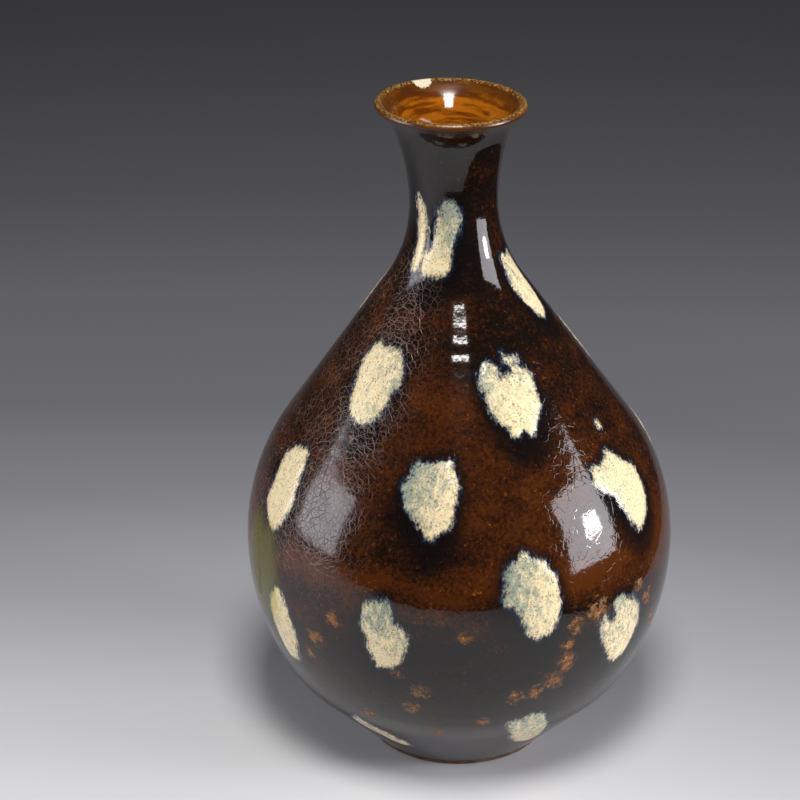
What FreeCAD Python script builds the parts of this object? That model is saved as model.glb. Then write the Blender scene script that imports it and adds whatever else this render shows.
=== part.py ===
import FreeCAD, Part
import os
import Sketcher
from math import cos, radians, sin

# A one-piece stoneware sake bottle (tokkuri), thrown on the wheel and glazed inside and out.
#
# The bottle stands on its foot with its axis on +Z and the origin under the middle of the foot.
# Its layers are separate sub-parts: the clay, the glaze poured inside, the glaze outside, and the
# dabs and the run of other glazes that lie on it. Every layer follows one chain of tangent arcs,
# so a layer's face is its neighbour's face.

# ---------------------------------------------------------------- driving dimensions, millimetres
SIZES = (
    ("overall_height", 240, "foot to the top of the lip"),
    ("belly_radius", 76, "widest, over the glaze"),
    ("belly_level", 79, "height of the widest place"),
    ("belly_curve_up", 75, "arc from the widest place up to the shoulder"),
    ("belly_curve_down", 91, "arc from the widest place down"),
    ("base_turn_curve", 42, "tighter arc where the belly turns in to the foot"),
    ("base_turn_level", 56, "height of that arc's middle"),
    ("base_slope", 46, "degrees from upright of the wall over the foot"),
    ("neck_radius", 15.5, "narrowest, over the glaze"),
    ("neck_level", 204.5, "height of the narrowest place"),
    ("neck_curve_down", 50, "hollow arc from the neck down to the shoulder"),
    ("neck_curve_up", 74, "hollow arc from the neck up"),
    ("lip_curve", 23.5, "hollow arc of the flared mouth"),
    ("lip_radius", 26.2, "outermost place of the lip"),
    ("lip_round", 1.4, "radius of the lip's round edge"),
    ("glaze_coat", 0.5, "thickness of the glaze, inside and out"),
    ("belly_wall", 5.5, "outer glaze and clay, belly"),
    ("neck_wall", 3.8, "outer glaze and clay, neck"),
    ("inside_floor", 7, "height of the clay's floor inside"),
    ("floor_curve", 14, "hollow arc round that floor"),
    ("glaze_end_level", 2.2, "where the outer glaze stops above the foot"),
    ("foot_radius", 32, "outside of the turned foot"),
    ("foot_ring_width", 5.5, "its flat ring"),
    ("foot_edge", 0.8, "bevel round the foot"),
    ("foot_recess", 2, "hollow under the foot"),
    ("dab_thickness", 0.4, "how far a dab stands out of the glaze"),
)

# Each dab: degrees round the bottle from the front (-Y) towards +X, level, width, length along
# the wall, and how far its top leans towards +X in degrees.
DAB_ROWS = {
    "neck_dabs": (
        (-44, 196.5, 5.8, 28, -4),
        (-10.5, 196.5, 10.8, 28, 2),
        (150, 196, 9, 26, 5),
    ),
    "high_shoulder_dabs": (
        (72, 176.5, 13, 28, 0),
        (-117, 169, 15, 27, 6),
        (176, 172, 13, 25, -5),
    ),
    "shoulder_dabs": (
        (-41, 150.5, 21, 31, -14),
        (25, 149.5, 22, 32, 6),
        (116, 147, 20, 29, 8),
        (162, 150, 20, 28, -10),
        (-156, 148, 20, 30, 6),
        (-120, 141, 18, 26, -8),
    ),
    "upper_belly_dabs": (
        (-61, 111, 20, 33, 7),
        (-9, 120.5, 21, 29, -5),
        (56, 114, 26, 32, 0),
        (108, 108, 20, 30, 8),
        (150, 114, 23, 30, -6),
        (-160, 109, 21, 31, 10),
        (-113, 106, 22, 28, -8),
    ),
    "belly_dabs": (
        (19.5, 89, 22, 34, -7),
        (-19.5, 74.5, 18, 30, -5),
        (-55, 62, 16, 31, 7),
        (49, 66, 22, 34, 11),
        (99, 69, 20, 32, 6),
        (138, 76, 21, 33, -8),
        (174, 66, 22, 35, 4),
        (-142, 70, 20, 33, 8),
        (-100, 62, 21, 34, -4),
    ),
    "foot_dabs": (
        (-31, 22, 20, 22, 6),
        (25, 27, 19, 36, 0),
        (78, 31, 19, 20, -6),
        (128, 33, 21, 19, 4),
        (-176, 30, 20, 21, -8),
        (-124, 32, 22, 19, 6),
        (-80, 29, 18, 20, -4),
    ),
}
# A thin run of green ash glaze on one side of the belly, placed in the same way.
ASH_RUN = (-70, 79, 13, 30, 0)

NODE_FOLDER = "parts"

# First guesses, in degrees, at where one curve meets the next. The sketches solve them.
SHOULDER, FLARE, LIP, TURN = 35, 18, 47, 27

doc = FreeCAD.newDocument("sake_bottle")
dims = doc.addObject("Spreadsheet::Sheet", "dims")
for row, (alias, value, note) in enumerate(SIZES, 1):
    dims.set(f"A{row}", alias)
    dims.set(f"B{row}", str(value))
    dims.setAlias(f"B{row}", alias)
    dims.set(f"C{row}", note)
doc.recompute()


class Size:
    """A size from the sheet, or a sum of them: its value now and the expression that keeps it."""

    def __init__(self, value, expression):
        self.value = value
        self.expression = expression

    def combined(self, sign, other):
        value = self.value + other.value if sign == "+" else self.value - other.value
        return Size(value, f"({self.expression} {sign} {other.expression})")

    def __add__(self, other):
        return self.combined("+", other)

    def __sub__(self, other):
        return self.combined("-", other)


def size(alias):
    """The size in one cell of the sheet."""
    return Size(float(dims.get(alias)), "dims." + alias)


NONE = Size(0, "0")
GLAZE = size("glaze_coat")
LIP_ROUND = size("lip_round")


def on_circle(middle, radius, angle):
    """The point of a circle at an angle in degrees, from sizes in millimetres."""
    return (middle[0] + radius * cos(radians(angle)), middle[1] + radius * sin(radians(angle)))


def back(piece):
    """A piece of an outline walked the other way."""
    geometry, near, far = piece
    return (geometry, far, near)


def backwards(pieces):
    """A chain of pieces walked the other way."""
    return [back(piece) for piece in reversed(pieces)]


class Outline:
    """A closed outline in the upright plane of a body, drawn piece by piece.

    A piece is (geometry, near end, far end), where near is the end that is met first.
    """

    START, END, MIDDLE = 1, 2, 3
    ORIGIN = (-1, 1)
    UP_AXIS = -2

    def __init__(self, body):
        plane = next(f for f in body.Origin.OriginFeatures if f.Role == "XZ_Plane")
        self.sketch = body.newObject("Sketcher::SketchObject", body.Name + "_outline")
        self.sketch.AttachmentSupport = (plane, [""])
        self.sketch.MapMode = "FlatFace"

    def constrain(self, *values):
        return self.sketch.addConstraint(Sketcher.Constraint(*values))

    def bind(self, kind, references, guess, expression):
        """Adds a constraint whose value follows an expression on the sheet."""
        number = self.constrain(kind, *references, guess)
        name = f"{kind.lower()}_{number}"
        self.sketch.renameConstraint(number, name)
        self.sketch.setExpression(f"Constraints.{name}", expression)

    def arc(self, middle, radius, first, last):
        """An arc between two angles in degrees, counted from +X towards +Z."""
        circle = Part.Circle(FreeCAD.Vector(*middle, 0), FreeCAD.Vector(0, 0, 1), radius.value)
        curve = Part.ArcOfCircle(circle, radians(first), radians(last))
        geometry = self.sketch.addGeometry(curve, False)
        self.bind("Radius", (geometry,), radius.value, radius.expression)
        return (geometry, self.START, self.END)

    def line(self, near, far):
        """A straight piece between two first guesses."""
        segment = Part.LineSegment(FreeCAD.Vector(*near, 0), FreeCAD.Vector(*far, 0))
        return (self.sketch.addGeometry(segment, False), self.START, self.END)

    def level(self, geometry, point, height):
        """Holds a point at a height over the origin."""
        self.bind("DistanceY", (*self.ORIGIN, geometry, point), height.value, height.expression)

    def reach(self, geometry, point, distance):
        """Holds a point at a distance from the axis."""
        self.bind("DistanceX", (*self.ORIGIN, geometry, point), distance.value, distance.expression)

    def smooth(self, pieces):
        """Joins a chain of pieces end to end, each tangent to the next."""
        for before, after in zip(pieces, pieces[1:]):
            self.constrain("Tangent", before[0], before[2], after[0], after[1])

    def corner(self, pieces):
        """Joins a chain of pieces end to end at corners."""
        for before, after in zip(pieces, pieces[1:]):
            self.constrain("Coincident", before[0], before[2], after[0], after[1])

    def polygon(self, points):
        """Straight pieces through points given as (distance from the axis, height) sizes.

        The first and last points are only first guesses, which the neighbours hold.
        """
        places = [(distance.value, height.value) for distance, height in points]
        pieces = [self.line(near, far) for near, far in zip(places, places[1:])]
        self.corner(pieces)
        for (geometry, _, far), (distance, height) in zip(pieces[:-1], points[1:-1]):
            self.reach(geometry, far, distance)
            self.level(geometry, far, height)
        return pieces


class BottleOutline(Outline):
    """The bottle's own curves, at any depth under the surface of the outer glaze."""

    def wall(self, belly_depth, neck_depth, lip_depth):
        """The chain from the foot up to the lip."""
        slope = size("base_slope")
        turn_radius = size("base_turn_curve") - belly_depth
        low_radius = size("belly_curve_down") - belly_depth
        high_radius = size("belly_curve_up") - belly_depth
        under_radius = size("neck_curve_down") + neck_depth
        over_radius = size("neck_curve_up") + neck_depth
        belly_level, neck_level = size("belly_level"), size("neck_level")
        under_reach = size("neck_radius") + size("neck_curve_down")

        turn_middle = (size("foot_radius").value, size("base_turn_level").value)
        low_middle = ((size("belly_radius") - size("belly_curve_down")).value, belly_level.value)
        high_middle = ((size("belly_radius") - size("belly_curve_up")).value, belly_level.value)
        under_middle = (under_reach.value, neck_level.value)
        over_middle = ((size("neck_radius") + size("neck_curve_up")).value, neck_level.value)
        flare_middle = on_circle(self.lip_middle(), (size("lip_curve") + LIP_ROUND).value, -LIP)

        foot = (size("foot_radius").value, size("glaze_end_level").value)
        line_end = on_circle(turn_middle, turn_radius.value, -slope.value)
        shoulder = (
            on_circle(high_middle, high_radius.value, SHOULDER),
            on_circle(under_middle, under_radius.value, 180 + SHOULDER),
        )
        base = self.line(foot, line_end)
        turn = self.arc(turn_middle, turn_radius, -slope.value, -TURN)
        low = self.arc(low_middle, low_radius, -TURN, 0)
        high = self.arc(high_middle, high_radius, 0, SHOULDER)
        slant = self.line(*shoulder)
        under = back(self.arc(under_middle, under_radius, 180, 180 + SHOULDER))
        over = back(self.arc(over_middle, over_radius, 180 - FLARE, 180))
        flare = back(self.arc(flare_middle, size("lip_curve") + lip_depth, 180 - LIP, 180 - FLARE))
        chain = [base, turn, low, high, slant, under, over, flare]
        self.smooth(chain)

        upright = f"(90 - {slope.expression}) * 1 deg"
        self.bind("Angle", (base[0],), radians(90 - slope.value), upright)
        self.level(turn[0], self.MIDDLE, size("base_turn_level"))
        self.level(low[0], self.MIDDLE, belly_level)
        self.level(high[0], self.MIDDLE, belly_level)
        self.level(under[0], self.MIDDLE, neck_level)
        self.level(over[0], self.MIDDLE, neck_level)
        self.reach(under[0], self.MIDDLE, under_reach)
        behind = size("belly_curve_down") - size("belly_radius")
        self.bind("DistanceX", (low[0], self.MIDDLE, *self.ORIGIN), behind.value, behind.expression)
        return chain

    def outside(self, depth):
        """The outer wall at one depth, from the edge of the glaze up to the lip."""
        chain = self.wall(depth, depth, depth)
        self.level(chain[0][0], self.START, size("glaze_end_level"))
        return chain

    def hollow(self, coat):
        """The inside, from the axis along the floor and up to the lip, at a height over the clay."""
        lip_depth = LIP_ROUND + LIP_ROUND - GLAZE + coat
        chain = self.wall(size("belly_wall") + coat, size("neck_wall") + coat, lip_depth)
        floor_level = size("inside_floor") + coat
        radius = size("floor_curve") - coat
        middle = (size("foot_radius").value / 2, (floor_level + radius).value)
        corner = self.arc(middle, radius, -90, -size("base_slope").value)
        floor = self.line((0, floor_level.value), (middle[0], floor_level.value))
        self.smooth([floor, corner, chain[0]])
        self.constrain("Horizontal", floor[0])
        self.constrain("PointOnObject", floor[0], self.START, self.UP_AXIS)
        self.level(floor[0], self.START, floor_level)
        return [floor, corner, *chain]

    def lip(self, depth, first, last):
        """The round of the lip at one depth; an end at 0 degrees is its outermost place."""
        lip = self.arc(self.lip_middle(), LIP_ROUND - depth, first, last)
        self.reach(lip[0], self.MIDDLE, size("lip_radius") - LIP_ROUND)
        self.level(lip[0], self.MIDDLE, size("overall_height") - LIP_ROUND)
        for angle, end in ((first, self.START), (last, self.END)):
            if angle == 0:
                self.constrain("Horizontal", lip[0], end, lip[0], self.MIDDLE)
        return lip

    @staticmethod
    def lip_middle():
        """The middle of the lip's round, in millimetres."""
        return (
            (size("lip_radius") - LIP_ROUND).value,
            (size("overall_height") - LIP_ROUND).value,
        )


def turned_body(name, draw):
    """A body made by turning the outline that draw makes once round the axis."""
    body = doc.addObject("PartDesign::Body", name)
    outline = BottleOutline(body)
    draw(outline)
    doc.recompute()
    turning = body.newObject("PartDesign::Revolution", name + "_turning")
    turning.Profile = outline.sketch
    turning.ReferenceAxis = (outline.sketch, ["V_Axis"])
    turning.Angle = 360
    body.Label = name
    body.Placement = FreeCAD.Placement()
    return body


def draw_clay(outline):
    """The clay between the two glazes, with its floor and its turned foot ring."""
    outer = outline.outside(GLAZE)
    lip = outline.lip(GLAZE, -LIP, 180 - LIP)
    inner = outline.hollow(NONE)
    outline.smooth([outer[-1], lip, *backwards(inner)[:1]])
    foot, edge = size("foot_radius"), size("foot_edge")
    ring, recess = foot - size("foot_ring_width"), size("foot_recess")
    foot_lines = outline.polygon(
        (
            (NONE, size("inside_floor")),
            (NONE, recess),
            (ring, recess),
            (ring + edge, NONE),
            (foot - edge, NONE),
            (foot, edge),
            (foot, size("glaze_end_level")),
            (foot + GLAZE, size("glaze_end_level")),
        )
    )
    outline.corner([back(inner[0]), *foot_lines[:1]])
    outline.corner([foot_lines[-1], outer[0]])


def draw_outer_skin(outline, under, over):
    """A coat on the outside between two depths, from the foot to the lip's outermost place."""
    near, far = outline.outside(over), outline.outside(under)
    near_lip, far_lip = outline.lip(over, -LIP, 0), outline.lip(under, -LIP, 0)
    outline.smooth([near[-1], near_lip])
    outline.smooth([far[-1], far_lip])
    lip_end = (size("lip_radius").value, outline.lip_middle()[1])
    foot_end = (size("foot_radius").value, size("glaze_end_level").value)
    across = outline.line(lip_end, (lip_end[0] - GLAZE.value, lip_end[1]))
    under_edge = outline.line(foot_end, (foot_end[0] + GLAZE.value, foot_end[1]))
    outline.corner([near_lip, across, back(far_lip)])
    outline.corner([back(far[0]), under_edge, near[0]])


def draw_liner(outline):
    """The coat inside, which rolls over the lip to meet the outer glaze."""
    near, far = outline.hollow(GLAZE), outline.hollow(NONE)
    near_lip, far_lip = outline.lip(NONE, 0, 180 - LIP), outline.lip(GLAZE, 0, 180 - LIP)
    outline.smooth([near_lip, back(near[-1])])
    outline.smooth([far_lip, back(far[-1])])
    lip_end = (size("lip_radius").value, outline.lip_middle()[1])
    floor = size("inside_floor").value
    across = outline.line((lip_end[0] - GLAZE.value, lip_end[1]), lip_end)
    axis = outline.line((0, floor + GLAZE.value), (0, floor))
    outline.corner([back(far_lip), across, near_lip])
    outline.corner([back(near[0]), axis, far[0]])


def surface_at(skin_outline, height):
    """The outer glaze's distance from the axis at a height, from the outline of the dabs' skin."""
    reach = 2 * size("belly_radius").value
    ray = Part.makeLine(FreeCAD.Vector(0, 0, height), FreeCAD.Vector(reach, 0, height))
    _, crossings, _ = skin_outline.Shape.distToShape(ray)
    return min(near.x for near, _ in crossings)


def oval_bar(name, skin_outline, around, height, width, length, lean):
    """An oval bar out through the wall, square to the surface at one place."""
    step = dims.glaze_coat
    below, here, above = (surface_at(skin_outline, height + way * step) for way in (-1, 0, 1))
    fall = (below - above) / (2 * step)
    outwards = FreeCAD.Vector(1, 0, fall).normalize()
    upwards = FreeCAD.Vector(-fall, 0, 1).normalize()
    sideways = upwards.cross(outwards)
    major, minor = (upwards, sideways) if length >= width else (sideways, upwards)
    square = FreeCAD.Rotation(major, minor, outwards, "ZXY")
    turn = FreeCAD.Rotation(FreeCAD.Vector(0, 0, 1), around - 90)
    roll = FreeCAD.Rotation(outwards, -lean)
    inwards = here / 2
    start = FreeCAD.Vector(here, 0, height) - outwards * inwards
    oval = doc.addObject("Part::Ellipse", name + "_oval")
    oval.MajorRadius = max(width, length) / 2
    oval.MinorRadius = min(width, length) / 2
    oval.Placement = FreeCAD.Placement(turn.multVec(start), turn * roll * square)
    bar = doc.addObject("Part::Extrusion", name + "_bar")
    bar.Base = oval
    bar.DirMode = "Custom"
    bar.Dir = turn.multVec(outwards)
    bar.Solid = True
    bar.setExpression("LengthFwd", "dims.belly_radius")
    return bar


def patches(name, skin, places):
    """The patches of a skin that oval bars cut out at the given places."""
    bars = [
        oval_bar(f"{name}_{number}", skin.Group[0], *place)
        for number, place in enumerate(places, 1)
    ]
    tool = bars[0]
    if len(bars) > 1:
        tool = doc.addObject("Part::MultiFuse", name + "_bars")
        tool.Shapes = bars
    patch = doc.addObject("Part::Common", name)
    patch.Base = skin
    patch.Tool = tool
    patch.Label = name
    patch.Placement = FreeCAD.Placement()
    return patch


def check(parts):
    """Stops before anything is written if an object failed or a part is empty or not valid."""
    for made in doc.Objects:
        if {"Invalid", "Error"} & set(made.State):
            raise RuntimeError(f"{made.Name} failed: {made.State}")
        if made.TypeId == "Sketcher::SketchObject" and not made.FullyConstrained:
            raise RuntimeError(f"{made.Name} is not fully constrained")
    for part in parts:
        if part.Shape.isNull() or not part.Shape.isValid() or not part.Shape.Solids:
            raise RuntimeError(f"{part.Label} has no valid solid")


def draw_outer_glaze(outline):
    draw_outer_skin(outline, GLAZE, NONE)


def draw_dab_skin(outline):
    draw_outer_skin(outline, NONE, NONE - size("dab_thickness"))


parts = [
    turned_body("clay_body", draw_clay),
    turned_body("liner_glaze", draw_liner),
    turned_body("outer_glaze", draw_outer_glaze),
]
dab_skin = turned_body("dab_skin", draw_dab_skin)
doc.recompute()
parts += [patches(name, dab_skin, places) for name, places in DAB_ROWS.items()]
parts.append(patches("ash_run", dab_skin, (ASH_RUN,)))
doc.recompute()
check(parts)

os.makedirs(NODE_FOLDER, exist_ok=True)
for part in parts:
    part.Shape.exportStep(f"{NODE_FOLDER}/{part.Label}.step")
    print(f"{part.Label}: {len(part.Shape.Solids)} solids, {part.Shape.Volume / 1000:.2f} cm3")
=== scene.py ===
"""A stoneware sake bottle, thrown in one piece on the wheel, under dark iron glaze with pale dabs.

The clay, the glaze inside, the glaze outside, the dabs and the run of ash glaze are pieces of
their own, one on the other, as they are in the frame. Every layer follows the same outline and
the same small unevenness of the hand that threw it. Lengths in the classes are in millimetres and
angles in degrees, unless a name says otherwise; meshes are in metres.
"""

from __future__ import annotations

import logging
import math
from dataclasses import dataclass, replace
from enum import Enum
from typing import Any, Iterable, Sequence, Union

import bmesh
import bpy
import numpy as np
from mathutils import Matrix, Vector


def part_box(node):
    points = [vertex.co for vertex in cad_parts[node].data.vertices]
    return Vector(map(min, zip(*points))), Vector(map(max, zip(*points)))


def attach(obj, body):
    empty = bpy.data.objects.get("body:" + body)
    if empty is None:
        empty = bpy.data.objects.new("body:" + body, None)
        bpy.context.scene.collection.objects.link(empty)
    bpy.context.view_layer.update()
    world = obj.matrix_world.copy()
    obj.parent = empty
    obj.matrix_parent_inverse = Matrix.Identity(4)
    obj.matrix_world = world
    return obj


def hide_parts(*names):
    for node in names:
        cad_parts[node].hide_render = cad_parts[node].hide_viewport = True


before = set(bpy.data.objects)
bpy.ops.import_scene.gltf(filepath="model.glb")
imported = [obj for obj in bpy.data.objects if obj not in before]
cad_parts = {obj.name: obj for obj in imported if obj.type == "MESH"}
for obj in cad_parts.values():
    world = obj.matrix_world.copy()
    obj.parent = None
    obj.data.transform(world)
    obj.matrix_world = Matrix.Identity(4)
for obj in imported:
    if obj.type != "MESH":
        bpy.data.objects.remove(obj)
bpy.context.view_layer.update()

MM = 0.001
BODY = "root"
LOG = logging.getLogger("sake_bottle")

Point = tuple[float, float]
Colour = tuple[float, float, float]


# ------------------------------------------------------------------------------ the outline
@dataclass(frozen=True)
class Curve:
    """A round stretch of an outline, as distance from the axis and height, in radians."""

    middle: Point
    radius: float
    first: float
    last: float

    def points(self, spacing: float) -> list[Point]:
        """Places along the stretch.

        Args:
            spacing: about how far apart they are.

        Returns:
            The places, both ends included.
        """
        steps = max(4, round(abs(self.last - self.first) * self.radius / spacing))
        across, up = self.middle
        return [
            (across + self.radius * math.cos(angle), up + self.radius * math.sin(angle))
            for angle in np.linspace(self.first, self.last, steps + 1)
        ]


def bearing(start: Point, end: Point) -> float:
    """The direction from one point to another, in radians."""
    return math.atan2(end[1] - start[1], end[0] - start[0])


def lower_crossing(first: Point, first_radius: float, second: Point, second_radius: float) -> Point:
    """The lower of the two places where two circles cross.

    Args:
        first: middle of one circle.
        first_radius: its radius.
        second: middle of the other circle.
        second_radius: its radius.

    Returns:
        The crossing, as distance from the axis and height.
    """
    apart = math.dist(first, second)
    along = (apart**2 + first_radius**2 - second_radius**2) / (2 * apart)
    turn = math.acos(along / first_radius)
    sides = [bearing(first, second) + way * turn for way in (1, -1)]
    found = [
        (first[0] + first_radius * math.cos(a), first[1] + first_radius * math.sin(a))
        for a in sides
    ]
    return min(found, key=lambda place: place[1])


def joined(stretches: Iterable[list[Point]], spacing: float) -> list[Point]:
    """Stretches end to end, with places added on the straight runs between them.

    Args:
        stretches: the places of each stretch, in order.
        spacing: about how far apart the added places are.

    Returns:
        One chain of places with no place twice.
    """
    chain: list[Point] = []
    for places in stretches:
        if chain:
            gap = math.dist(chain[-1], places[0])
            steps = max(1, round(gap / spacing))
            start, end = np.array(chain[-1]), np.array(places[0])
            chain += [tuple(start + (end - start) * n / steps) for n in range(1, steps)]
            if gap < spacing * 1e-3:
                places = places[1:]
        chain += places
    return chain


@dataclass(frozen=True)
class Outline:
    """The bottle's outline, a chain of tangent arcs, at any depth under the outer glaze."""

    height: float
    belly_radius: float
    belly_level: float = 79
    belly_curve_up: float = 75
    belly_curve_down: float = 91
    base_turn_curve: float = 42
    base_turn_level: float = 56
    base_slope: float = 46
    neck_radius: float = 15.5
    neck_level: float = 204.5
    neck_curve_down: float = 50
    neck_curve_up: float = 74
    lip_curve: float = 23.5
    lip_radius: float = 26.2
    lip_round: float = 1.4
    glaze: float = 0.5
    belly_wall: float = 5.5
    neck_wall: float = 3.8
    inside_floor: float = 7
    floor_curve: float = 14
    glaze_end_level: float = 2.2
    spacing: float = 1.25

    @classmethod
    def from_frame(cls) -> Outline:
        """The outline for the frame's height and its widest place."""
        low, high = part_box("outer_glaze")
        _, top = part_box("liner_glaze")
        return cls(height=top.z / MM, belly_radius=(high.x - low.x) / 2 / MM)

    @property
    def lip_middle(self) -> Point:
        """The middle of the lip's round."""
        return (self.lip_radius - self.lip_round, self.height - self.lip_round)

    def wall(self, belly_depth: float, neck_depth: float, flare_radius: float) -> list[Curve]:
        """The arcs of the wall from the foot up to the lip.

        Args:
            belly_depth: depth under the outer glaze at the belly.
            neck_depth: depth at the neck.
            flare_radius: radius of the hollow arc under the lip.

        Returns:
            The arcs in order. A straight run lies between two arcs that don't touch.
        """
        low = (self.belly_radius - self.belly_curve_down, self.belly_level)
        high = (self.belly_radius - self.belly_curve_up, self.belly_level)
        under = (self.neck_radius + self.neck_curve_down, self.neck_level)
        over = (self.neck_radius + self.neck_curve_up, self.neck_level)
        drop = self.base_turn_level - self.belly_level
        reach = self.belly_curve_down - self.base_turn_curve
        turn = (low[0] + math.sqrt(reach**2 - drop**2), self.base_turn_level)
        high_radius = self.belly_curve_up - belly_depth
        under_radius = self.neck_curve_down + neck_depth
        over_radius = self.neck_curve_up + neck_depth
        lean = math.acos((high_radius + under_radius) / math.dist(high, under))
        shoulder = bearing(high, under) - lean
        lip_reach = self.lip_curve + self.lip_round
        flare = lower_crossing(self.lip_middle, lip_reach, over, over_radius - flare_radius)
        flare_start = bearing(over, flare)
        return [
            Curve(turn, self.base_turn_curve - belly_depth, -math.radians(self.base_slope),
                  bearing(low, turn)),
            Curve(low, self.belly_curve_down - belly_depth, bearing(low, turn), 0),
            Curve(high, high_radius, 0, shoulder),
            Curve(under, under_radius, math.pi + shoulder, math.pi),
            Curve(over, over_radius, math.pi, flare_start),
            Curve(flare, flare_radius, flare_start, bearing(flare, self.lip_middle)),
        ]

    def foot_end(self, curves: Sequence[Curve]) -> Point:
        """Where the straight run under the first arc comes down to the glaze's lower edge."""
        start = curves[0].points(self.spacing)[0]
        fall = start[1] - self.glaze_end_level
        return (start[0] - fall * math.tan(math.radians(self.base_slope)), self.glaze_end_level)

    def outside(self, depth: float) -> list[Point]:
        """The outer wall at a depth, from the glaze's lower edge to the lip's outermost place."""
        curves = self.wall(depth, depth, self.lip_curve + depth)
        lip_start = bearing(self.lip_middle, curves[-1].middle)
        lip = Curve(self.lip_middle, self.lip_round - depth, lip_start, 0)
        stretches = [curve.points(self.spacing) for curve in curves]
        return joined([[self.foot_end(curves)], *stretches, lip.points(0.3)], self.spacing)

    def hollow(self, coat: float, spacing: float) -> list[Point]:
        """The inside at a height over the clay, from the axis on the floor to the lip's round."""
        flare_radius = self.lip_curve + 2 * self.lip_round - self.glaze + coat
        curves = self.wall(self.belly_wall + coat, self.neck_wall + coat, flare_radius)
        radius, level = self.floor_curve - coat, self.inside_floor + coat
        slope = math.radians(self.base_slope)
        start = curves[0].points(spacing)[0]
        fall = start[1] + radius * math.sin(slope) - level - radius
        middle = (start[0] - radius * math.cos(slope) - fall * math.tan(slope), level + radius)
        corner = Curve(middle, radius, -math.pi / 2, -slope)
        stretches = [curve.points(spacing) for curve in (corner, *curves)]
        return joined([[(0.0, level)], *stretches], spacing)

    def lip(self, depth: float, first: float, last: float) -> list[Point]:
        """The lip's round at a depth, between two angles in radians."""
        return Curve(self.lip_middle, self.lip_round - depth, first, last).points(0.3)

    def inner_lip_angle(self) -> float:
        """Where the lip's round meets the inside, in radians."""
        flare_radius = self.lip_curve + 2 * self.lip_round
        depth = self.belly_wall + self.glaze, self.neck_wall + self.glaze
        return bearing(self.wall(*depth, flare_radius)[-1].middle, self.lip_middle)


class Surface:
    """The outer glaze as a map: how far along the wall each height is, and how far out."""

    FINE = 0.1

    def __init__(self, outline: Outline) -> None:
        """Walks the outer wall of an outline in fine steps."""
        fine = replace(outline, spacing=self.FINE)
        places = np.array(fine.outside(0))
        steps = np.hypot(*np.diff(places, axis=0).T)
        self.along = np.r_[0, np.cumsum(steps)]
        self.radius, self.level = places.T
        tangent = np.gradient(places, axis=0)
        tangent /= np.linalg.norm(tangent, axis=1)[:, None]
        self.out_across, self.out_up = tangent[:, 1], -tangent[:, 0]

    def along_at(self, level: np.ndarray) -> np.ndarray:
        """How far along the wall from the foot the given heights are."""
        return np.interp(level, self.level, self.along)

    def radius_at(self, along: np.ndarray) -> np.ndarray:
        """The distance from the axis at places along the wall."""
        return np.interp(along, self.along, self.radius)

    def place(self, around: np.ndarray, along: np.ndarray, out: np.ndarray) -> np.ndarray:
        """Points on or over the wall.

        Args:
            around: radians round the axis from the front towards +X.
            along: distances along the wall from the foot.
            out: distances out from the wall.

        Returns:
            One row of x, y, z for each.
        """
        radius = self.radius_at(along) + out * np.interp(along, self.along, self.out_across)
        level = np.interp(along, self.along, self.level)
        level = level + out * np.interp(along, self.along, self.out_up)
        return np.stack([radius * np.sin(around), -radius * np.cos(around), level], axis=1)


@dataclass(frozen=True)
class Hand:
    """What the potter's hand left: the neck leans a little and no ring is quite round."""

    lean: float = 4.0
    lean_start: float = 110
    lean_length: float = 128
    lean_power: float = 1.2
    oval: float = 0.25
    oval_start: float = 0.8
    lobes: float = 0.06
    ribs: float = 0.006
    rings: float = 0.054
    rings_level: float = 162.6
    rings_reach: float = 3.2
    rib_height: float = 5.2
    rib_start: float = -2.66
    calm_radius: float = 12
    calm_level: float = 20

    # lobes round the ring, their share, the height of a radian's twist, and where they start
    LOBES = ((3, 1.0, 23.0, 0.0), (5, 0.7, -12.0, 1.0))

    def bend(self, points: np.ndarray) -> np.ndarray:
        """Moves points of the true round form to where the hand left them, in millimetres."""
        around = np.arctan2(points[:, 0], -points[:, 1])
        level = points[:, 2]
        radius = np.hypot(points[:, 0], points[:, 1])
        rise = np.clip((level - self.lean_start) / self.lean_length, 0, None)
        out = self.oval * np.sin(2 * around + self.oval_start) * level / self.lean_length
        for count, share, twist, start in self.LOBES:
            out += share * self.lobes * np.sin(count * around + level / twist + start)
        turns = 2 * math.pi * level / self.rib_height + self.rib_start + around
        deep = np.exp(-(((level - self.rings_level) / self.rings_reach) ** 2))
        out += (self.ribs + self.rings * deep) * np.sin(turns)
        fade = np.clip(radius / self.calm_radius, 0, 1) * np.clip(level / self.calm_level, 0, 1)
        share = 1 + fade * out / np.maximum(radius, 1)
        moved = points * np.stack([share, share, np.ones_like(share)], axis=1)
        moved[:, 0] -= self.lean * rise**self.lean_power
        return moved


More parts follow.
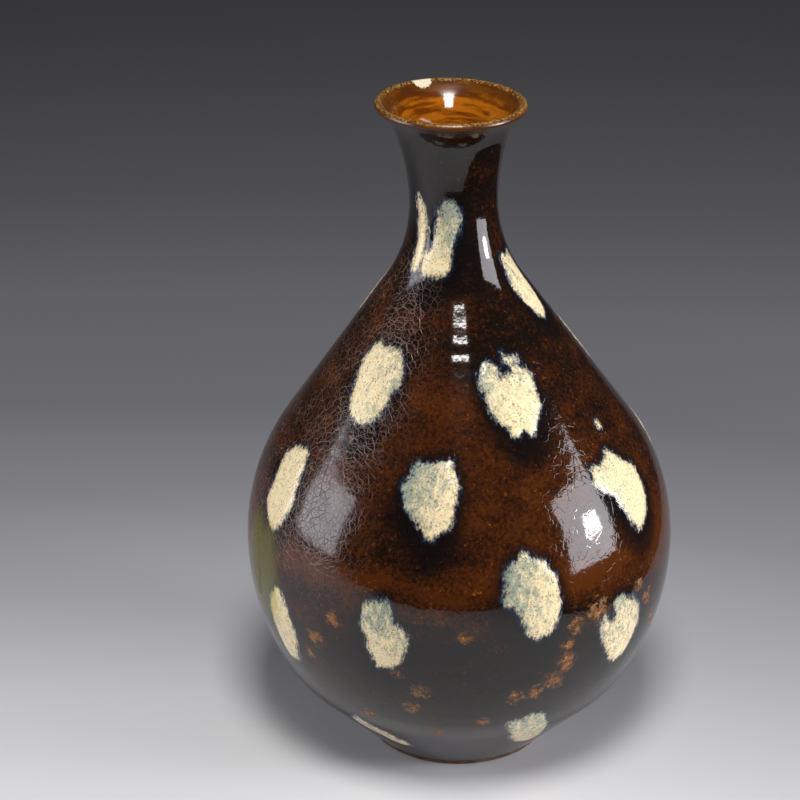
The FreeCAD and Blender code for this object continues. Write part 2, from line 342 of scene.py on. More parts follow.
# ------------------------------------------------------------------------------ what was brushed on
class Stroke(Enum):
    """The outlines of the brushed dabs, clockwise from the top, in half widths and half lengths."""

    SLIM = (
        (0.05, 1), (0.45, 0.8), (1, 0.35), (0.85, -0.35), (0.5, -0.75), (0, -1), (-1, -0.95),
        (-0.85, -0.45), (-0.65, -0.1), (-0.5, 0.65), (-0.35, 0.9),
    )
    COMMA = (
        (0.15, 1), (0.4, 0.95), (0.75, 0.75), (1, 0.45), (0.85, 0.3), (0.65, 0.1), (0.45, -0.4),
        (0.35, -0.75), (0.05, -0.9), (-0.45, -1), (-1.5, -0.95), (-1.5, -0.55), (-0.85, -0.3),
        (-0.55, 0.15), (-0.4, 0.8), (-0.1, 0.95),
    )
    NOTCHED = (
        (-0.5, 1), (-0.15, 0.75), (0.1, 1), (0.6, 0.7), (0.9, 0.2), (1, -0.4), (0.7, -0.9),
        (0.1, -1), (-0.5, -0.8), (-0.8, -0.3), (-0.9, 0.3), (-0.8, 0.7),
    )
    LEAF = (
        (0.25, 1), (0.35, 0.8), (0.8, 0.75), (0.9, 0.6), (1, 0.15), (0.85, -0.2), (0.6, -0.3),
        (0.4, -0.65), (0.1, -0.9), (-0.3, -1), (-0.75, -0.95), (-1, -0.65), (-0.8, -0.1),
        (-0.65, 0.35), (-0.3, 0.7), (0.1, 0.9),
    )
    CROWNED = (
        (-0.7, 0.75), (-0.45, 0.6), (-0.4, 0.35), (-0.05, 0.45), (-0.05, 0.65), (0.45, 0.6),
        (0.65, 0.35), (0.8, 0), (1, -0.25), (0.85, -0.5), (0.85, -0.8), (0.6, -0.95), (0.4, -0.8),
        (0.15, -1), (-0.15, -0.75), (-0.55, -0.55), (-0.7, -0.3), (-1, 0.25), (-0.95, 0.6),
    )
    HOOK = (
        (-0.4, 1), (-0.25, 0.85), (0, 0.9), (0.25, 0.8), (0.2, 0.65), (-0.05, 0.68), (-0.3, 0.7),
    )
    SLANTED = (
        (0.55, 1), (0.95, 0.85), (0.85, 0.55), (0.65, 0.25), (0.45, -0.15), (0.15, -0.55),
        (-0.25, -0.8), (-0.6, -1), (-0.85, -0.95), (-1, -0.55), (-0.9, -0.2), (-0.6, 0.1),
        (-0.25, 0.55), (0, 0.85),
    )
    BLOCKY = (
        (-0.35, 0.95), (0.15, 0.9), (0.7, 1), (0.8, 0.95), (0.85, 0.6), (1, 0.35), (0.95, 0.05),
        (0.8, -0.45), (0.65, -0.7), (0.3, -0.85), (0, -1), (-0.25, -0.7), (-0.4, -0.5),
        (-0.75, -0.3), (-0.85, 0.1), (-1, 0.35), (-0.7, 0.5), (-0.55, 0.75),
    )
    WINGED = (
        (-0.5, 1), (-0.25, 0.85), (0.15, 0.65), (0.4, 0.65), (0.6, 0.4), (0.85, 0.05), (1, -0.3),
        (1, -0.75), (0.8, -1), (0.55, -0.9), (0.2, -0.65), (-0.1, -0.4), (-0.25, -0.2),
        (-0.65, -0.1), (-0.95, 0.05), (-1, 0.55), (-0.7, 0.55), (-0.65, 0.7),
    )
    RAGGED = (
        (-0.3, 1), (0.1, 0.8), (0.45, 0.8), (0.5, 0.6), (0.75, 0.55), (0.85, 0.2), (1, -0.2),
        (0.9, -0.45), (0.75, -0.7), (0.2, -1), (-0.2, -0.75), (-0.35, -0.45), (-0.55, -0.25),
        (-0.85, -0.25), (-1, -0.1), (-0.85, 0.15), (-0.95, 0.45), (-0.75, 0.7), (-0.45, 0.85),
    )
    TONGUE = (
        (-0.3, 1), (0.3, 1), (0.8, 0.4), (1, -0.2), (0.7, -0.8), (0.1, -1), (-0.5, -0.8),
        (-0.9, -0.1), (-0.9, 0.6),
    )
    BOOT = (
        (-0.85, 0.75), (-0.45, 0.9), (0.1, 1), (0.25, 0.7), (0.45, 0.35), (0.75, 0.2), (1, 0),
        (0.95, -0.35), (0.7, -0.85), (0.3, -0.95), (-0.2, -0.95), (-0.45, -0.55), (-0.65, -0.3),
        (-0.65, 0), (-1, 0.25), (-0.9, 0.5),
    )
    MITTEN = (
        (-0.7, 0.45), (-0.5, 0.2), (-0.4, 0.1), (-0.3, 0.4), (-0.25, 0.7), (0.1, 0.95),
        (0.35, 0.9), (0.55, 0.75), (0.75, 1), (1, 0.5), (0.85, 0.1), (0.6, -0.3), (0.15, -0.75),
        (-0.35, -1), (-0.7, -0.8), (-0.9, -0.5), (-1, -0.1), (-0.9, 0.1),
    )
    STUB = (
        (0.95, 1), (1, 0.45), (0.9, -0.1), (0.7, -0.55), (0.3, -0.85), (-0.2, -1), (-0.75, -0.85),
        (-0.9, -0.55), (-0.85, -0.1), (-1, 0.35), (-0.45, 0.6), (-0.3, 0.5), (0.15, 0.8),
    )


@dataclass(frozen=True)
class Dab:
    """How one dab was brushed: its outline and where the blue of the thin glaze shows in it."""

    stroke: Stroke
    mirrored: bool = False
    blue: float = 0.25
    blue_from: float = 90
    extra: Stroke | None = None
    across: Point | None = None
    upward: Point | None = None

    def polygons(self, width: float, length: float) -> list[np.ndarray]:
        """The outlines in millimetres, from the frame's width and length of the dab.

        A dab brushed askew has its own half width and half length, as sideways and upward runs.
        """
        across = self.across or (width / 2 * (-1 if self.mirrored else 1), 0)
        upward = self.upward or (0, length / 2)
        shapes = [self.stroke] + ([self.extra] if self.extra else [])
        return [rounded(np.array(shape.value) @ np.array([across, upward])) for shape in shapes]


def rounded(corners: np.ndarray, rounds: int = 2, cut: float = 0.22) -> np.ndarray:
    """A closed outline with a share of each side cut off at its corners, in each round."""
    keep = 1 - cut
    for _ in range(rounds):
        following = np.roll(corners, -1, axis=0)
        cuts = np.stack([keep * corners + cut * following, cut * corners + keep * following], 1)
        corners = cuts.reshape(-1, 2)
    return corners


def depth_inside(places: np.ndarray, corners: np.ndarray) -> np.ndarray:
    """How deep each place lies inside a closed outline, less than nothing outside it.

    Args:
        places: rows of two coordinates.
        corners: the outline's corners in order.

    Returns:
        One distance for each place.
    """
    nearest = np.full(len(places), np.inf)
    inside = np.zeros(len(places), bool)
    for start, end in zip(corners, np.roll(corners, -1, axis=0)):
        edge, offset = end - start, places - start
        share = np.clip(offset @ edge / max(edge @ edge, 1e-9), 0, 1)
        nearest = np.minimum(nearest, np.hypot(*(offset - share[:, None] * edge).T))
        spans = (start[1] > places[:, 1]) != (end[1] > places[:, 1])
        if edge[1] != 0:
            reach = start[0] + edge[0] * (places[:, 1] - start[1]) / edge[1]
            inside ^= spans & (places[:, 0] < reach)
    return np.where(inside, nearest, -nearest)


DABS: dict[str, tuple[Dab, ...]] = {
    "neck_dabs": (
        Dab(Stroke.SLIM, blue=0.1, across=(3.3, 0.9), upward=(-1.2, 14.1)),
        Dab(Stroke.COMMA, blue=0.9, blue_from=60, across=(6.1, 0.4), upward=(0.2, 14)),
        Dab(Stroke.TONGUE, mirrored=True),
    ),
    "high_shoulder_dabs": (
        Dab(Stroke.LEAF, mirrored=True, blue=0.3),
        Dab(Stroke.NOTCHED, blue=0.45, blue_from=120),
        Dab(Stroke.STUB, blue=0.3),
    ),
    "shoulder_dabs": (
        Dab(Stroke.RAGGED, mirrored=True, blue=0.4),
        Dab(Stroke.BOOT, blue=0.3),
        Dab(Stroke.LEAF, blue=0.45, blue_from=20, across=(11.2, 3.2), upward=(-6.8, 14.2)),
        Dab(Stroke.CROWNED, blue=0.6, blue_from=120, extra=Stroke.HOOK,
            across=(11.5, -2.1), upward=(4.8, 15)),
        Dab(Stroke.BLOCKY, mirrored=True),
        Dab(Stroke.TONGUE, blue=0.4, blue_from=150),
    ),
    "upper_belly_dabs": (
        Dab(Stroke.MITTEN, mirrored=True),
        Dab(Stroke.WINGED, mirrored=True, blue=0.35),
        Dab(Stroke.SLANTED, blue=0.2, across=(13.2, 5.6), upward=(-10.9, 12.4)),
        Dab(Stroke.BLOCKY, blue=0.95, blue_from=150, across=(10.4, 0.7), upward=(-1.2, 14.2)),
        Dab(Stroke.WINGED, blue=0.35, blue_from=140, across=(14.6, -5.8), upward=(9.3, 12.2)),
        Dab(Stroke.LEAF, mirrored=True, blue=0.35, blue_from=60),
        Dab(Stroke.RAGGED, blue=0.4),
    ),
    "belly_dabs": (
        Dab(Stroke.BLOCKY, mirrored=True),
        Dab(Stroke.RAGGED, mirrored=True, blue=0.3),
        Dab(Stroke.TONGUE, blue=0.45, blue_from=180),
        Dab(Stroke.BOOT, blue=0.85, blue_from=80, across=(9.3, 1.7), upward=(0.5, 14.7)),
        Dab(Stroke.RAGGED, blue=0.85, blue_from=170, across=(11.1, -1.9), upward=(0.8, 16.6)),
        Dab(Stroke.MITTEN, blue=0.65, blue_from=100, across=(12, -5), upward=(-4, 16.5)),
        Dab(Stroke.LEAF, blue=0.3),
        Dab(Stroke.BOOT, mirrored=True, blue=0.4),
        Dab(Stroke.TONGUE, mirrored=True),
    ),
    "foot_dabs": (
        Dab(Stroke.STUB, mirrored=True, blue=0.3),
        Dab(Stroke.BLOCKY, blue=0.3),
        Dab(Stroke.TONGUE, blue=0.4),
        Dab(Stroke.LEAF, blue=0.5, across=(-6.5, 0.5), upward=(-3, 13)),
        Dab(Stroke.STUB, blue=0.8, blue_from=80, across=(9.3, -3.8), upward=(-7, 19)),
        Dab(Stroke.BOOT, mirrored=True, blue=0.4),
        Dab(Stroke.STUB, mirrored=True, blue=0.4),
    ),
}


@dataclass
class Patch:
    """Where one brushed patch lies on the wall, from its solid in the frame."""

    around: float
    along: float
    width: float
    length: float
    dab: Dab
    outlines: list[np.ndarray]

    def local(self, surface: Surface, around: np.ndarray, along: np.ndarray) -> np.ndarray:
        """Places on the wall as distances sideways and up from the patch's middle."""
        turned = (around - self.around + math.pi) % (2 * math.pi) - math.pi
        return np.stack([turned * surface.radius_at(along), along - self.along], axis=1)

    def depth(self, places: np.ndarray) -> np.ndarray:
        """How deep local places lie inside the patch."""
        return np.max([depth_inside(places, outline) for outline in self.outlines], axis=0)


def solids_of(node: str) -> list[np.ndarray]:
    """The points of each separate solid of a CAD node, in millimetres.

    Args:
        node: the node's name.

    Returns:
        One array of points for each solid, in order round the bottle from the back, by -X, the
        front and +X to the back again.
    """
    shell = bmesh.new()
    shell.from_mesh(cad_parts[node].data)
    bmesh.ops.remove_doubles(shell, verts=shell.verts, dist=MM / 1000)
    waiting, found = set(shell.verts), []
    while waiting:
        front = [waiting.pop()]
        members = list(front)
        while front:
            here = front.pop()
            near = {edge.other_vert(here) for edge in here.link_edges} & waiting
            waiting -= near
            front += near
            members += near
        found.append(np.array([vert.co[:] for vert in members]) / MM)
    shell.free()
    return sorted(found, key=lambda points: turn_of(points)[0])


def turn_of(points: np.ndarray) -> tuple[float, float]:
    """The middle direction of a patch round the axis and half its spread, in radians."""
    middle = points[:, :2].mean(axis=0)
    middle_turn = math.atan2(middle[0], -middle[1])
    turned = np.arctan2(points[:, 0], -points[:, 1]) - middle_turn
    turned = (turned + math.pi) % (2 * math.pi) - math.pi
    return middle_turn + (turned.max() + turned.min()) / 2, (turned.max() - turned.min()) / 2


def patches_of(node: str, surface: Surface, dabs: Sequence[Dab]) -> list[Patch]:
    """The patches of a CAD node, each with the way that it was brushed.

    Args:
        node: the node's name.
        surface: the outer glaze.
        dabs: how each was brushed, in order round the bottle.

    Returns:
        The patches in the same order.
    """
    made = []
    for points, dab in zip(solids_of(node), dabs):
        around, spread = turn_of(points)
        low, high = surface.along_at(np.array([points[:, 2].min(), points[:, 2].max()]))
        along = (low + high) / 2
        width, length = 2 * spread * float(surface.radius_at(along)), high - low
        made.append(Patch(around, along, width, length, dab, dab.polygons(width, length)))
    return made


class Brushwork:
    """Everything that lies on the outer glaze, and what each place of the wall carries of it."""

    # the depth of places that no patch is near, and how far past its outline a patch matters
    FAR = -12.0
    REACH = 16.0
    # how far down the black of each layer ran, how far it fades, and how strong it is
    HALO = ((0, 4.5, 0.85), (3.5, 6, 1.0), (7.5, 7, 0.85))
    BLUE_MIDDLE = 0.55
    BLUE_SLOPE = 0.6
    BLUE_MARGIN = 4
    CRACKLE_TURN = -78
    # rusty spots, as degrees round from the front, height and size
    BLEMISHES = (
        (39, 78, 3.4), (32, 75, 2.2), (30, 68, 1.8), (30, 61, 2.6), (27, 54, 2.8), (22, 50, 2.0),
        (16, 49, 2.2), (60, 73, 2.2), (66, 62, 2.4), (70, 56, 2.0), (55, 80, 1.6), (-34, 76, 2.2),
        (-41, 65, 2.2), (-44, 57, 1.6), (-10, 53, 2.2), (-16, 60, 1.8), (-13, 44, 2.0),
        (2, 76, 1.6), (-28, 36, 1.8), (-6, 30, 1.8), (8, 38, 1.6), (-22, 72, 1.5), (95, 58, 2.4),
        (128, 52, 2.6), (162, 48, 2.4), (-170, 55, 2.2), (-128, 50, 2.6), (-98, 44, 2.2),
        (111, 88, 1.8), (-151, 88, 1.8),
    )
    SPLASH = (61, 133, 1.6)
    ASH_SPREAD = (9, 0)

    def __init__(self, surface: Surface) -> None:
        """Finds every brushed patch in the frame."""
        self.surface = surface
        self.rows = {node: patches_of(node, surface, dabs) for node, dabs in DABS.items()}
        self.ash = patches_of("ash_run", surface, (Dab(Stroke.TONGUE),))[0]

    @property
    def patches(self) -> list[Patch]:
        """All the dabs."""
        return [patch for row in self.rows.values() for patch in row]

    def fields(self, around: np.ndarray, along: np.ndarray) -> dict[str, np.ndarray]:
        """What the wall carries at some places.

        Args:
            around: radians round the axis from the front towards +X.
            along: distances along the wall from the foot.

        Returns:
            For each kind, one number for each place: depth inside a dab, blue in it, the black
            that ran out of it, depth inside the ash run, crackle, rust and warmth of the brown.
        """
        level = np.interp(along, self.surface.along, self.surface.level)
        dab = np.full(len(around), self.FAR)
        blue, halo = np.zeros_like(dab), np.zeros_like(dab)
        for patch in self.patches:
            local = patch.local(self.surface, around, along)
            corners = np.concatenate(patch.outlines)
            near = np.all(np.abs(local) < np.abs(corners).max(axis=0) + self.REACH, axis=1)
            places = local[near]
            depth = patch.depth(places)
            dab[near] = np.maximum(dab[near], depth)
            for slip, fade, full in self.HALO:
                shade = smooth(-fade, 0, patch.depth(places + (0, slip)))
                halo[near] = np.maximum(halo[near], full * shade)
            lean = math.radians(patch.dab.blue_from)
            side = places @ (math.cos(lean) / patch.width, math.sin(lean) / patch.length) * 2
            tint = np.clip(patch.dab.blue * (self.BLUE_MIDDLE + self.BLUE_SLOPE * side), 0, 1)
            tint = tint * (depth > -self.BLUE_MARGIN)
            blue[near] = np.maximum(blue[near], tint)
        turn, height, size = self.SPLASH
        turned = (around - math.radians(turn)) * self.surface.radius_at(along)
        dab = np.maximum(dab, size - np.hypot(turned, level - height))
        run = self.ash.local(self.surface, around, along)
        ash = np.maximum(self.ash.depth(run), self.ash.depth(run - self.ASH_SPREAD))
        return {
            "dab_depth": dab,
            "dab_blue": blue,
            "halo": halo,
            "ash_depth": np.clip(ash, self.FAR, None),
            "crackle": self.crackle(np.degrees(around), level),
            "rust": self.rust(around, along, level),
            "warmth": self.warmth(np.degrees(around), level),
        }

    @classmethod
    def crackle(cls, turn: np.ndarray, level: np.ndarray) -> np.ndarray:
        """How much the glaze is crazed: most on the -X side between the belly and the neck."""
        away = np.abs((turn - cls.CRACKLE_TURN + 180) % 360 - 180)
        spread = 60 + 17 * smooth(110, 165, level)
        return smooth(spread, spread - 30, away) * smooth(74, 96, level) * smooth(200, 176, level)

    @staticmethod
    def warmth(turn: np.ndarray, level: np.ndarray) -> np.ndarray:
        """How brown the iron glaze broke: most over the widest place, least at foot and neck."""
        broad = 0.4 + 0.5 * smooth(62, 92, level) * smooth(215, 130, level)
        band = 0.5 * np.exp(-(((level - 92) / 7) ** 2))
        return broad + band + 0.12 * np.sin(np.radians(2 * turn) + level / 17)

    def rust(self, around: np.ndarray, along: np.ndarray, level: np.ndarray) -> np.ndarray:
        """How near each place is to a rusty blemish, from 0 to 1 at its middle."""
        found = np.zeros(len(around))
        radius = self.surface.radius_at(along)
        for turn, height, size in self.BLEMISHES:
            turned = (around - math.radians(turn) + math.pi) % (2 * math.pi) - math.pi
            spot = np.hypot(turned * radius, level - height)
            found = np.maximum(found, smooth(2.4 * size, 0.1 * size, spot))
        return found


def smooth(low: float, high: float, value: np.ndarray) -> np.ndarray:
    """A smooth step from 0 at low to 1 at high, which may be the lower of the two."""
    share = np.clip((value - low) / (high - low), 0, 1)
    return share * share * (3 - 2 * share)


# ------------------------------------------------------------------------------ meshes
def coordinates(mesh: bpy.types.Mesh) -> np.ndarray:
    """A mesh's points, one row each, as they are stored."""
    flat = np.empty(len(mesh.vertices) * 3, np.float32)
    mesh.vertices.foreach_get("co", flat)
    return flat.reshape(-1, 3).astype(float)


def put(mesh: bpy.types.Mesh, points: np.ndarray) -> None:
    """Writes points in millimetres back into a mesh in metres."""
    mesh.vertices.foreach_set("co", (points * MM).astype(np.float32).ravel())
    mesh.update()


def paint(mesh: bpy.types.Mesh, fields: dict[str, np.ndarray]) -> None:
    """Stores numbers for each point of a mesh, for its finish to read."""
    for name, values in fields.items():
        mesh.attributes.new(name, "FLOAT", "POINT").data.foreach_set(
            "value", values.astype(np.float32)
        )


def into_edit_mode() -> None:
    """Starts shaping the active piece, all of it selected."""
    bpy.ops.object.mode_set(mode="EDIT")
    bpy.ops.mesh.select_all(action="SELECT")


def close_up() -> None:
    """Merges what meets, turns the faces outwards and leaves edit mode."""
    bpy.ops.mesh.select_all(action="SELECT")
    bpy.ops.mesh.remove_doubles(threshold=MM / 500)
    bpy.ops.mesh.normals_make_consistent(inside=False)
    bpy.ops.object.mode_set(mode="OBJECT")


def thrown(name: str, profile: Sequence[Point], segments: int) -> bpy.types.Object:
    """A piece turned once round the axis.

    Args:
        name: the piece's name.
        profile: distances from the axis and heights, in order.
        segments: steps of the turn.

    Returns:
        The piece, in metres.
    """
    bpy.ops.object.select_all(action="DESELECT")
    bpy.ops.mesh.primitive_plane_add(size=MM)
    piece = bpy.context.object
    piece.name = piece.data.name = name
    into_edit_mode()
    bpy.ops.mesh.merge(type="CENTER")
    across, up = profile[0]
    bpy.ops.transform.translate(value=(across * MM, 0, up * MM))
    for near, far in zip(profile, profile[1:]):
        step = ((far[0] - near[0]) * MM, 0, (far[1] - near[1]) * MM)
        bpy.ops.mesh.extrude_vertices_move(TRANSFORM_OT_translate={"value": step})
    bpy.ops.mesh.select_all(action="SELECT")
    bpy.ops.mesh.spin(steps=segments, angle=2 * math.pi, center=(0, 0, 0), axis=(0, 0, 1))
    close_up()
    return piece


def smoothed(piece: bpy.types.Object, angle: float) -> None:
    """Shades a piece smoothly up to an angle in degrees between its faces."""
    bpy.ops.object.select_all(action="DESELECT")
    piece.select_set(True)
    bpy.context.view_layer.objects.active = piece
    bpy.ops.object.shade_smooth_by_angle(angle=math.radians(angle))


# ------------------------------------------------------------------------------ shader maths
Value = Union["Wire", float, Sequence[float]]


class Wire:
    """One output of a shader node, which plain arithmetic works on."""

    def __init__(self, recipe: Recipe, socket: bpy.types.NodeSocket) -> None:
        """Wraps an output socket of a recipe's node."""
        self.recipe = recipe
        self.socket = socket

    def maths(self, operation: str, first: Value, second: Value = 0.0) -> Wire:
        """Adds one Math node."""
        return self.recipe.node("Math", {"operation": operation}, {0: first, 1: second})

    def __add__(self, other: Value) -> Wire:
        """The sum."""
        return self.maths("ADD", self, other)

    __radd__ = __add__

    def __sub__(self, other: Value) -> Wire:
        """The difference."""
        return self.maths("SUBTRACT", self, other)

    def __rsub__(self, other: Value) -> Wire:
        """The difference the other way round."""
        return self.maths("SUBTRACT", other, self)

    def __mul__(self, other: Value) -> Wire:
        """The product."""
        return self.maths("MULTIPLY", self, other)

    __rmul__ = __mul__

    def __pow__(self, other: Value) -> Wire:
        """The power."""
        return self.maths("POWER", self, other)

    def at_least(self, other: Value) -> Wire:
        """The larger of two."""
        return self.maths("MAXIMUM", self, other)

    def step(self, low: Value, high: Value) -> Wire:
        """A smooth step from 0 at low to 1 at high."""
        settings = {"interpolation_type": "SMOOTHSTEP"}
        inputs = {"Value": self, "From Min": low, "From Max": high}
        return self.recipe.node("MapRange", settings, inputs)


class Recipe:
    """The shader nodes of one finish."""

    def __init__(self, name: str) -> None:
        """Starts an empty material."""
        self.material = bpy.data.materials.new(name)
        self.material.use_nodes = True
        self.tree = self.material.node_tree
        self.tree.nodes.clear()

    def node(
        self,
        kind: str,
        settings: dict[str, Any] | None = None,
        inputs: dict[str | int, Value] | None = None,
        output: str | int = 0,
    ) -> Wire:
        """Adds one node.

        Args:
            kind: the node's type without its ShaderNode prefix.
            settings: its own settings, and a colour ramp's stops as (place, colour) pairs.
            inputs: values or links for its input sockets, by name or number.
            output: the output that is wanted.

        Returns:
            That output.
        """
        made = self.tree.nodes.new("ShaderNode" + kind)
        for name, value in (settings or {}).items():
            if name == "stops":
                ramp = made.color_ramp.elements
                ramp.remove(ramp[1])
                for place, colour in value:
                    ramp.new(place).color = (*colour, 1)
                ramp.remove(ramp[0])
            else:
                setattr(made, name, value)
        for name, value in (inputs or {}).items():
            socket = made.inputs[name]
            if isinstance(value, Wire):
                self.tree.links.new(value.socket, socket)
            elif isinstance(value, tuple) and socket.type == "RGBA":
                socket.default_value = (*value, 1)
            else:
                socket.default_value = value
        return Wire(self, made.outputs[output])

    def blend(self, under: Value, over: Value, share: Value) -> Wire:
        """One colour laid over another by a share."""
        settings = {"data_type": "RGBA", "clamp_factor": True}
        return self.node("Mix", settings, {0: share, 6: under, 7: over}, 2)

    def field(self, name: str) -> Wire:
        """A number stored on the mesh."""
        settings = {"attribute_name": name, "attribute_type": "GEOMETRY"}
        return self.node("Attribute", settings, output="Fac")

    def place(self, stretch: Sequence[float] = (1, 1, 1)) -> Wire:
        """The place on the piece in millimetres, with each axis divided by its stretch."""
        where = self.node("TexCoord", output="Object")
        scale = tuple(1 / (MM * share) for share in stretch)
        return self.node("VectorMath", {"operation": "MULTIPLY"}, {0: where, 1: scale})

    def cloud(self, where: Wire, size: float, detail: float = 2, rough: float = 0.5) -> Wire:
        """Soft noise from about 0.3 to 0.7, with patches of about a size in millimetres."""
        inputs = {"Vector": where, "Scale": 1 / size, "Detail": detail, "Roughness": rough}
        return self.node("TexNoise", {}, inputs)

    def cells(self, where: Wire, size: float, feature: str = "F1") -> Wire:
        """Distances in a pattern of cells of about a size in millimetres."""
        inputs = {"Vector": where, "Scale": 1 / size}
        return self.node("TexVoronoi", {"feature": feature}, inputs, "Distance")

    def warped(self, where: Wire, size: float, amount: float) -> Wire:
        """Places moved about by noise of a size, by an amount, both in millimetres."""
        inputs = {"Vector": where, "Scale": 1 / size, "Detail": 2}
        noise = self.node("TexNoise", {}, inputs, "Color")
        settings = {"operation": "MULTIPLY_ADD"}
        return self.node("VectorMath", settings, {0: noise, 1: (amount,) * 3, 2: where})

    def finish(self, colour: Value, roughness: Value, relief: Wire, coat: float = 0.0) -> None:
        """Joins everything to a surface.

        Args:
            colour: base colour.
            roughness: from 0, a mirror, to 1.
            relief: heights in millimetres.
            coat: weight of a clear layer on top.
        """
        bump = self.node("Bump", {}, {"Height": relief, "Distance": MM, "Strength": 1.0})
        inputs = {"Base Color": colour, "Roughness": roughness, "Normal": bump}
        inputs |= {"Coat Weight": coat, "Coat Roughness": 0.03}
        surface = self.node("BsdfPrincipled", {}, inputs)
        output = self.tree.nodes.new("ShaderNodeOutputMaterial")
        self.tree.links.new(surface.socket, output.inputs["Surface"])


def shade(red: float, green: float, blue: float) -> Colour:
    """A colour from 0 to 255 as a screen shows it, turned to light."""
    return tuple(
        value / 255 / 12.92 if value <= 10 else ((value / 255 + 0.055) / 1.055) ** 2.4
        for value in (red, green, blue)
    )


# ------------------------------------------------------------------------------ finishes
class Finish:
    """A finish, which fills a recipe with its own nodes."""

    name: str

    def fill(self, mix: Recipe, where: Wire) -> None:
        """Adds the nodes, from the places on the piece in millimetres."""
        raise NotImplementedError

    def mix(self) -> bpy.types.Material:
        """Makes the material."""
        recipe = Recipe(self.name)
        self.fill(recipe, recipe.place())
        return recipe.material


@dataclass(frozen=True)
class RimWear:
    """The edge of the lip, where both glazes ran thin: brown, then specks of tan, and one pale spot.
    """

    brown: Colour = shade(68, 35, 9)
    tan: Colour = shade(198, 160, 92)
    pale_spot: Colour = shade(238, 226, 196)
    brown_level: float = 234
    tan_level: float = 239.1
    pale_spot_place: Sequence[float] = (-14.5, 23.2, 239.6)
    pale_spot_reach: float = 3.4

    def lay(self, mix: Recipe, where: Wire, colour: Wire) -> tuple[Wire, Wire]:
        """Adds the worn lip over a glaze.

        Args:
            mix: the recipe it goes into.
            where: places in millimetres.
            colour: the glaze below.

        Returns:
            The colour, and how much of the lip is there.
        """
        level = mix.node("SeparateXYZ", {}, {0: where}, "Z")
        uneven = level + (mix.cloud(where, size=1.2, detail=4, rough=0.7) - 0.5) * 3
        lip = uneven.step(self.brown_level, self.brown_level + 4)
        colour = mix.blend(colour, self.brown, lip * 0.8)
        speckled = mix.cloud(where, size=0.8, detail=4, rough=0.8).step(0.45, 0.60)
        thin = uneven.step(self.tan_level, self.tan_level + 0.7) * speckled
        colour = mix.blend(colour, self.tan, thin * 0.85)
        # a pale, ragged spot of colour on the rim at the back left
        settings = {"operation": "DISTANCE"}
        away = mix.node("VectorMath", settings, {0: where, 1: self.pale_spot_place}, "Value")
        ragged = away + (mix.cloud(where, size=1, detail=3, rough=0.7) - 0.5) * 3
        pale_spotted = 1 - ragged.step(self.pale_spot_reach, self.pale_spot_reach + 0.5)
        return mix.blend(colour, self.pale_spot, pale_spotted), lip


